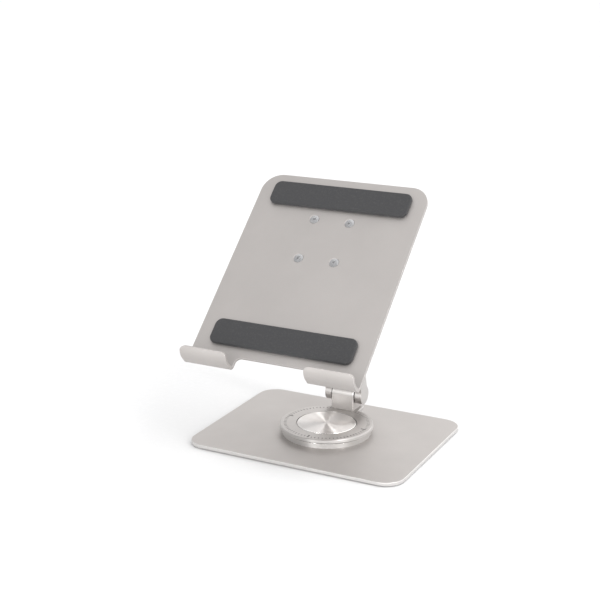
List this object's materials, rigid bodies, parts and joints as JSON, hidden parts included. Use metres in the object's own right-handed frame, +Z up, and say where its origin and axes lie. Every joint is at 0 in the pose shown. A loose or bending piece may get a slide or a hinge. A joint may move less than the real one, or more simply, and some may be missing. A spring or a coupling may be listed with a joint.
{
  "type": "tablet stand",
  "caption": "Desk stand for a tablet: flat base, full-turn swivel disc, arm hinged at both ends and a tilting cradle with bent hooks.",
  "frame": {"origin": "on the resting face under the base, on the swivel's axis", "axes": "+X to the right of a person facing the screen, +Y towards the back, +Z up along the swivel's axis"},
  "size_m": [0.127, 0.1228, 0.1413],
  "materials": {
    "satin_aluminium": "fine bead-blasted and anodised, warm silver, satin",
    "turned_aluminium": "finely turned, satin, with bright cut edges",
    "spun_aluminium": "spun with fine concentric grooves, bright",
    "hinge_aluminium": "anodised, satin silver",
    "fastener_steel": "zinc plated",
    "slip_plastic": "natural acetal",
    "friction_plastic": "dark fibre-filled washer",
    "grip_silicone": "matt silicone"
  },
  "bodies": {
    "stand_base": {"base_plate": "satin_aluminium", "base_pad": "grip_silicone", "seat_ring": "turned_aluminium", "seat_screws": "fastener_steel", "swivel_pivot": "fastener_steel", "glide_washer": "slip_plastic", "swivel_spring_washer": "fastener_steel", "swivel_nut": "fastener_steel"},
    "turntable": {"swivel_disc": "turned_aluminium", "centre_cap": "spun_aluminium", "hinge_block": "hinge_aluminium", "block_screws": "fastener_steel"},
    "link_arm": {"arm": "hinge_aluminium", "lower_pin": "fastener_steel", "lower_pin_nut": "fastener_steel", "lower_spring_washer": "fastener_steel", "lower_friction_washers": "friction_plastic", "lower_end_caps": "hinge_aluminium", "upper_pin": "fastener_steel", "upper_pin_nut": "fastener_steel", "upper_spring_washer": "fastener_steel", "upper_friction_washers": "friction_plastic", "upper_end_caps": "hinge_aluminium"},
    "tablet_cradle": {"hinge_bracket": "hinge_aluminium", "bracket_screws": "fastener_steel", "cradle_plate": "satin_aluminium", "top_back_pad": "grip_silicone", "bottom_back_pad": "grip_silicone", "left_hook_liner": "grip_silicone", "right_hook_liner": "grip_silicone"}
  },
  "joints": [
    {"name": "base_swivel", "type": "hinge", "parent": "stand_base", "child": "turntable", "pos_m": [0, 0, 0.0065], "axis": [0, 0, 1], "continuous": true},
    {"name": "lower_hinge", "type": "hinge", "parent": "turntable", "child": "link_arm", "pos_m": [0, 0.0264, 0.0175], "axis": [1, 0, 0], "range_deg": [-40, 15]},
    {"name": "upper_hinge", "type": "hinge", "parent": "link_arm", "child": "tablet_cradle", "pos_m": [0, 0.00226, 0.10576], "axis": [-1, 0, 0], "range_deg": [-30, 100]}
  ]
}
